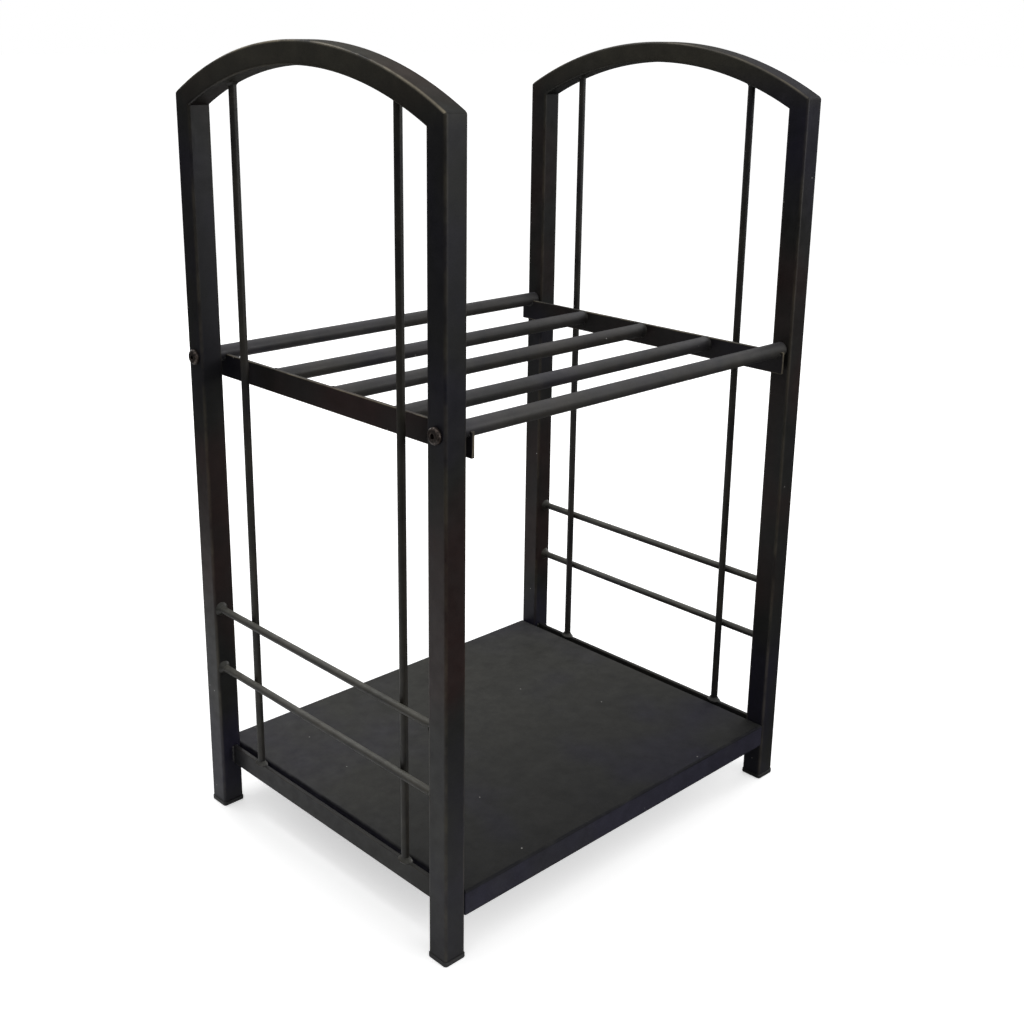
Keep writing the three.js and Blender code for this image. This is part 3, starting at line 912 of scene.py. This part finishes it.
def side_bar(end_name):
    """Flat bar under the shelf's slats, with saddles for the bolted ones."""
    node = f"shelf_{end_name}_bar"
    lo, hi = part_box(node)
    slat_lo, slat_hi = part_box("shelf_back_slat")
    radius = (slat_hi.z - slat_lo.z) / 2 + GAP
    middle = (slat_lo.z + slat_hi.z) / 2
    top = SaddledTop(hi.z, LEG_Y, middle, radius, hi.y - lo.y)
    shell = Shell()
    flat_bar(shell, lo, hi, 0.45 * MM, top, 12)
    shell.build(f"{node}_flat", BAR_COAT, "shelf_coat", node)


def shelf_welds():
    """Collars around the middle slats' ends and beads along the saddles."""
    shell = Shell()
    seed = SHELF_SEED
    for end, end_name in ENDS:
        lo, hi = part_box(f"shelf_{end_name}_bar")
        near, far = (lo.x, hi.x) if end > 0 else (hi.x, lo.x)
        for name in ("front_middle", "middle", "back_middle"):
            seed += 1
            slat_lo, slat_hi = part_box(f"shelf_{name}_slat")
            rod = (slat_hi.z - slat_lo.z) / 2
            centre = (near, (slat_lo.y + slat_hi.y) / 2, (slat_lo.z + slat_hi.z) / 2)
            weld_collar(shell, centre, (-end, 0, 0), rod, seed, **SLAT_WELD)
        for side, side_name in SIDES:
            slat_lo, slat_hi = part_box(f"shelf_{side_name}_slat")
            rod = (slat_hi.z - slat_lo.z) / 2
            middle = (slat_lo.z + slat_hi.z) / 2
            for face in (near, far):
                seed += 1
                path = []
                reach = rod + SADDLE_REACH
                for i in range(SADDLE_POINTS):
                    angle = math.radians(SADDLE_FROM + SADDLE_SWEEP * i / (SADDLE_POINTS - 1))
                    y = side * LEG_Y + reach * math.cos(angle)
                    path.append((face, y, middle + reach * math.sin(angle)))
                weld_bead(shell, path, SADDLE_BEAD, seed)
    shell.build("shelf_welds", WELD_COAT, "shelf_coat")


# --------------------------------------------------------------------- tray

TRAY_FOLD = 2.4 * MM                 # outer radius of the folds
TRAY_SHEET = 1.2 * MM
TRAY_CORNER = 1.3 * MM               # in plan
FOLD_STEPS = 8
FOLD_SUPPORT = 1 * MM                # from a fold to the next ring
TOP_INSETS = (20 * MM, 60 * MM, 110 * MM, 160 * MM)


def plan_ring(half_x, half_y, radius, z, wear_and_light_amount=0.0, steps=4):
    """A level ring around the middle of the rack, with its wear."""
    outline = section(2 * half_x, 2 * half_y, radius, steps, 1.2 * MM)
    return [(u, v, z) for u, v, _ in outline], wear_and_light_amount


def tray():
    """Folded sheet pan: flat top, rounded folds and turned-down lips, open underneath."""
    lo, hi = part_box("tray")
    fold_z = hi.z - TRAY_FOLD
    edge = 0.25 * MM
    inner_fold = TRAY_FOLD - TRAY_SHEET
    tight = 0.08 * MM

    def skin(inset, z, wear_and_light_amount=0.0):
        radius = max(TRAY_CORNER - inset, tight)
        return plan_ring(hi.x - inset, hi.y - inset, radius, z, wear_and_light_amount)

    # the lips' lower edges and the folds carry the painted shade of the tray's edge tint
    rings = [skin(TRAY_SHEET - edge, lo.z), skin(edge, lo.z, 0.8), skin(0.0, lo.z + edge, 0.8)]
    rings += [skin(0.0, lo.z + 1.5 * MM), skin(0.0, (lo.z + hi.z) / 2)]
    rings += [skin(0.0, fold_z - FOLD_SUPPORT)]
    for i in range(FOLD_STEPS + 1):
        angle = math.pi / 2 * i / FOLD_STEPS
        inset = TRAY_FOLD * (1 - math.cos(angle))
        # the middle of each fold carries the most painted shade
        wear_and_light_amount = math.sin(math.pi * i / FOLD_STEPS)
        rings.append(skin(inset, fold_z + TRAY_FOLD * math.sin(angle), wear_and_light_amount))
    rings.append(skin(TRAY_FOLD + FOLD_SUPPORT, hi.z))
    rings += [skin(inset, hi.z) for inset in TOP_INSETS]
    top = len(rings)
    rings.append(skin(TOP_INSETS[-1], hi.z - TRAY_SHEET))
    rings.append(skin(TRAY_FOLD + FOLD_SUPPORT, hi.z - TRAY_SHEET))
    for i in range(FOLD_STEPS, -1, -2):
        angle = math.pi / 2 * i / FOLD_STEPS
        inset = TRAY_SHEET + inner_fold * (1 - math.cos(angle))
        rings.append(skin(inset, fold_z + inner_fold * math.sin(angle)))
    rings.append(skin(TRAY_SHEET, fold_z - FOLD_SUPPORT))
    rings.append(skin(TRAY_SHEET, lo.z + edge, 0.5))

    shell = Shell()
    made = [shell.ring(points, wear_and_light_amount) for points, wear_and_light_amount in rings]
    for i, (low, high) in enumerate(zip(made, made[1:])):
        if i != top - 1:
            shell.bridge(low, high)
    shell.bridge(made[-1], made[0])
    shell.cap(made[top - 1])
    shell.cap(made[top][::-1])
    shell.build("tray_pan", TRAY_COAT, "tray_coat", "tray")


# ---------------------------------------------------------- fasteners and feet

TURN_SIDES = 48
SHELF_BOLT = {
    "shank": 6 * MM,
    "reach": 36 * MM,
    "head": 13 * MM,
    "height": 3.4 * MM,
    "key": 4 * MM,
    "depth": 2.2 * MM,
}
TRAY_SCREW = {
    "shank": 4 * MM,
    "reach": 10 * MM,
    "head": 8 * MM,
    "height": 2.8 * MM,
    "key": 2.5 * MM,
    "depth": 1.6 * MM,
}
HEAD_STEPS = 8


def hexagon(across):
    """Points around a hexagon, as many as a ring has."""
    points = []
    for i in range(TURN_SIDES):
        angle = 2 * math.pi * i / TURN_SIDES
        within = (angle % (math.pi / 3)) - math.pi / 6
        reach = across / 2 / math.cos(within)
        points.append((reach * math.cos(angle), reach * math.sin(angle)))
    return points


def socket_screw(node, out, material, slot, shank, reach, head, height, key, depth):
    """Button-head screw with a hexagon socket; its axis is X and its head points along out."""
    lo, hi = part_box(node)
    y, z = (lo.y + hi.y) / 2, (lo.z + hi.z) / 2
    seat = hi.x - height if out > 0 else lo.x + height
    crown = 0.3 * head
    rim = 0.34 * height
    edge = 0.2 * MM
    # Radius and height over the seat, from the shank's tip to the crown.
    profile = [(shank / 2 - shank / 8, -reach), (shank / 2, shank / 8 - reach)]
    profile += [(shank / 2, 0.0), (head / 2 - edge, 0.0), (head / 2, edge), (head / 2, rim)]
    for i in range(1, HEAD_STEPS + 1):
        angle = math.pi / 2 * i / HEAD_STEPS
        radius = crown + (head / 2 - crown) * math.cos(angle)
        profile.append((radius, rim + (height - rim) * math.sin(angle)))
    profile += [(crown - 2 * edge, height)]
    rings = []
    for radius, up in profile:
        wear_and_light_amount = 1.0 if rim < up < 0.98 * height else 0.2
        rings.append((circle(radius, TURN_SIDES), up, wear_and_light_amount))
    mouth = 0.18 * MM
    rings.append((hexagon(key + 2 * mouth), height, 1.0))
    rings.append((hexagon(key), height - mouth, 0.6))
    rings.append((hexagon(key), height - depth, 0.0))
    rings.append((hexagon(0.5 * key), height - depth - edge, 0.0))
    stack = []
    for points, up, wear_and_light_amount in rings:
        stack.append(([(seat + out * up, y + u, z + v) for u, v in points], wear_and_light_amount))
    shell = Shell()
    shell.stack(stack)
    shell.build(f"{node}_turned", material, slot, node)


def foot_cap(end_name, side_name):
    """Moulded cap: a flange with soft edges under the leg and a plug inside it."""
    node = f"{end_name}_{side_name}_foot_cap"
    lo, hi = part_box(node)
    x, y = (lo.x + hi.x) / 2, (lo.y + hi.y) / 2
    width = hi.x - lo.x
    flange = 4 * MM
    plug = LEG - 2 * TUBE_WALL - 2 * GAP
    corner = TUBE_CORNER + 0.7 * MM
    soft = 0.8 * MM
    steps = 4
    # Width, height and corner radius of each ring, from the floor up.
    shape = [(width - 5 * MM, 0.0, 1.0 * MM), (width - 2 * soft, 0.0, corner - soft)]
    for i in range(1, steps + 1):
        angle = math.pi / 2 * i / steps
        inset = soft * (1 - math.sin(angle))
        up = soft * (1 - math.cos(angle))
        shape.append((width - 2 * inset, up, corner - inset))
    shape += [(width, flange - 0.5 * MM, corner), (width - 0.3 * MM, flange - 0.15 * MM, corner)]
    shape += [(width - 1.0 * MM, flange, corner - 0.4 * MM), (plug, flange, corner - 1.0 * MM)]
    shape += [(plug, hi.z - 1.0 * MM, corner - 1.0 * MM)]
    shape += [(plug - 2 * soft, hi.z, corner - 1.2 * MM)]
    rings = []
    for size, up, radius in shape:
        outline = section(size, size, radius, 5, 0.6 * MM)
        rings.append(([(x + u, y + v, up) for u, v, _ in outline], 0.0))
    shell = Shell()
    shell.stack(rings)
    shell.build(f"{node}_moulding", PLASTIC, "foot_plastic", node)


# -------------------------------------------------------------------- build

for end, end_name in ENDS:
    arch(end, end_name)
    rods(end_name)
    base_rail(end_name)
    frame_welds(end, end_name)
    side_bar(end_name)
    for side, side_name in SIDES:
        leg(end, end_name, side, side_name)
        foot_cap(end_name, side_name)
        corner = f"{end_name}_{side_name}"
        socket_screw(f"{corner}_shelf_bolt", end, BLACK_STEEL, "bolt_steel", **SHELF_BOLT)
        socket_screw(f"{corner}_tray_screw", -end, ZINC, "zinc_steel", **TRAY_SCREW)
        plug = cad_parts[f"{corner}_threaded_plug"]
        plug.data.materials.clear()
        plug.data.materials.append(ZINC)
for name in SLATS:
    slat(name)
shelf_welds()
tray()

# ------------------------------------------------------------------- studio

SKY = rgb(1.0, 1.0, 1.0)
HORIZON = 0.2
FAR_HORIZON = 0.03                   # behind the rack, so that level faces don't glare
FAR_SIDE = (0.7071, 0.7071, 0.0)
FAR_FROM, FAR_TO = 0.1, 0.8          # how far a direction turns to the far side
ZENITH = 0.85
ZENITH_FROM = 0.9                    # height of a direction at which the sky is at its brightest
BACKGROUND = 1.0                     # what the camera sees behind the rack

FLOOR_SIZE = 60.0
FLOOR_DROP = 0.2 * MM
SHEET_SHIFT = (0.42, -0.2, 0.0)      # moves the middle of the floor's bright sheet to zero
SHEET_RADIUS, SHEET_END = 0.34, 0.8  # the sheet fades out between these radii
NEAR_FLOOR = 0.95
FAR_FLOOR = 0.07
SEEN_LOW, SEEN_HIGH = 0.9, 0.93      # what the camera sees of the floor
FLOOR_LIFT = 0.5                     # evens the floor out with the background

AIM = (0, 0, 0.3)
SOFTBOXES = (                        # name, place, width and height, power
    ("key", (0.6, -2.2, 0.85), (1.8, 1.2), 18),
    ("rim", (-0.3, 1.1, 2.1), (1.0, 0.8), 7.5),
    ("side", (2.3, 0.05, 0.8), (1.2, 1.0), 12),
    ("back", (0.4, 2.3, 0.8), (1.0, 1.0), 8),
)


def add_world():
    world = bpy.data.worlds.new("studio")
    bpy.context.scene.world = world
    n = Nodes(world)
    direction = n.coords["Generated"]
    away = n.add("ShaderNodeVectorMath", {0: direction, 1: FAR_SIDE}, operation="DOT_PRODUCT")
    low = n.remap(away.outputs["Value"], FAR_FROM, FAR_TO, HORIZON, FAR_HORIZON)
    rise = n.split(direction)[2]
    sky = n.remap(rise, 0.0, ZENITH_FROM, low, ZENITH, interpolation_type="SMOOTHSTEP")
    seen = n.add("ShaderNodeLightPath").outputs["Is Camera Ray"]
    strength = n.add("ShaderNodeMix", {0: seen, 2: sky, 3: BACKGROUND}).outputs[0]
    shader = n.add("ShaderNodeBackground", {0: SKY, 1: strength})
    n.output("ShaderNodeOutputWorld", shader)


def floor_material():
    n = Nodes(bpy.data.materials.new("floor"))
    seen = n.add("ShaderNodeLightPath").outputs["Is Camera Ray"]
    reach = n.shift(n.place, SHEET_SHIFT)
    away = n.add("ShaderNodeVectorMath", {0: reach}, operation="LENGTH").outputs["Value"]
    sheet = n.remap(away, SHEET_RADIUS, SHEET_END, NEAR_FLOOR, FAR_FLOOR)
    mottle = n.spread(n.noise(3.0), SEEN_LOW, SEEN_HIGH)
    colour = n.blend(seen, n.grey(sheet), n.grey(mottle))
    diffuse = n.add("ShaderNodeBsdfDiffuse", {"Color": colour})
    lift = n.add("ShaderNodeEmission", {"Strength": n.math("MULTIPLY", seen, FLOOR_LIFT)})
    both = n.add("ShaderNodeAddShader", {0: diffuse.outputs[0], 1: lift.outputs[0]})
    n.output("ShaderNodeOutputMaterial", both)
    return n.owner


def add_floor():
    half = FLOOR_SIZE / 2
    mesh = bpy.data.meshes.new("floor")
    corners = [(-half, -half, 0), (half, -half, 0), (half, half, 0), (-half, half, 0)]
    mesh.from_pydata(corners, [], [(0, 1, 2, 3)])
    mesh.materials.append(floor_material())
    floor = bpy.data.objects.new("floor", mesh)
    floor.location.z = -FLOOR_DROP
    bpy.context.scene.collection.objects.link(floor)


def add_softbox(name, place, size, power):
    data = bpy.data.lights.new(name, "AREA")
    data.shape = "RECTANGLE"
    data.size, data.size_y = size
    data.energy = power
    light = bpy.data.objects.new(name, data)
    light.location = place
    look = Vector(AIM) - Vector(place)
    light.rotation_euler = look.to_track_quat("-Z", "Y").to_euler()
    light.visible_camera = False
    bpy.context.scene.collection.objects.link(light)


add_world()
add_floor()
for softbox in SOFTBOXES:
    add_softbox(*softbox)
bpy.context.scene.view_settings.view_transform = "Standard"
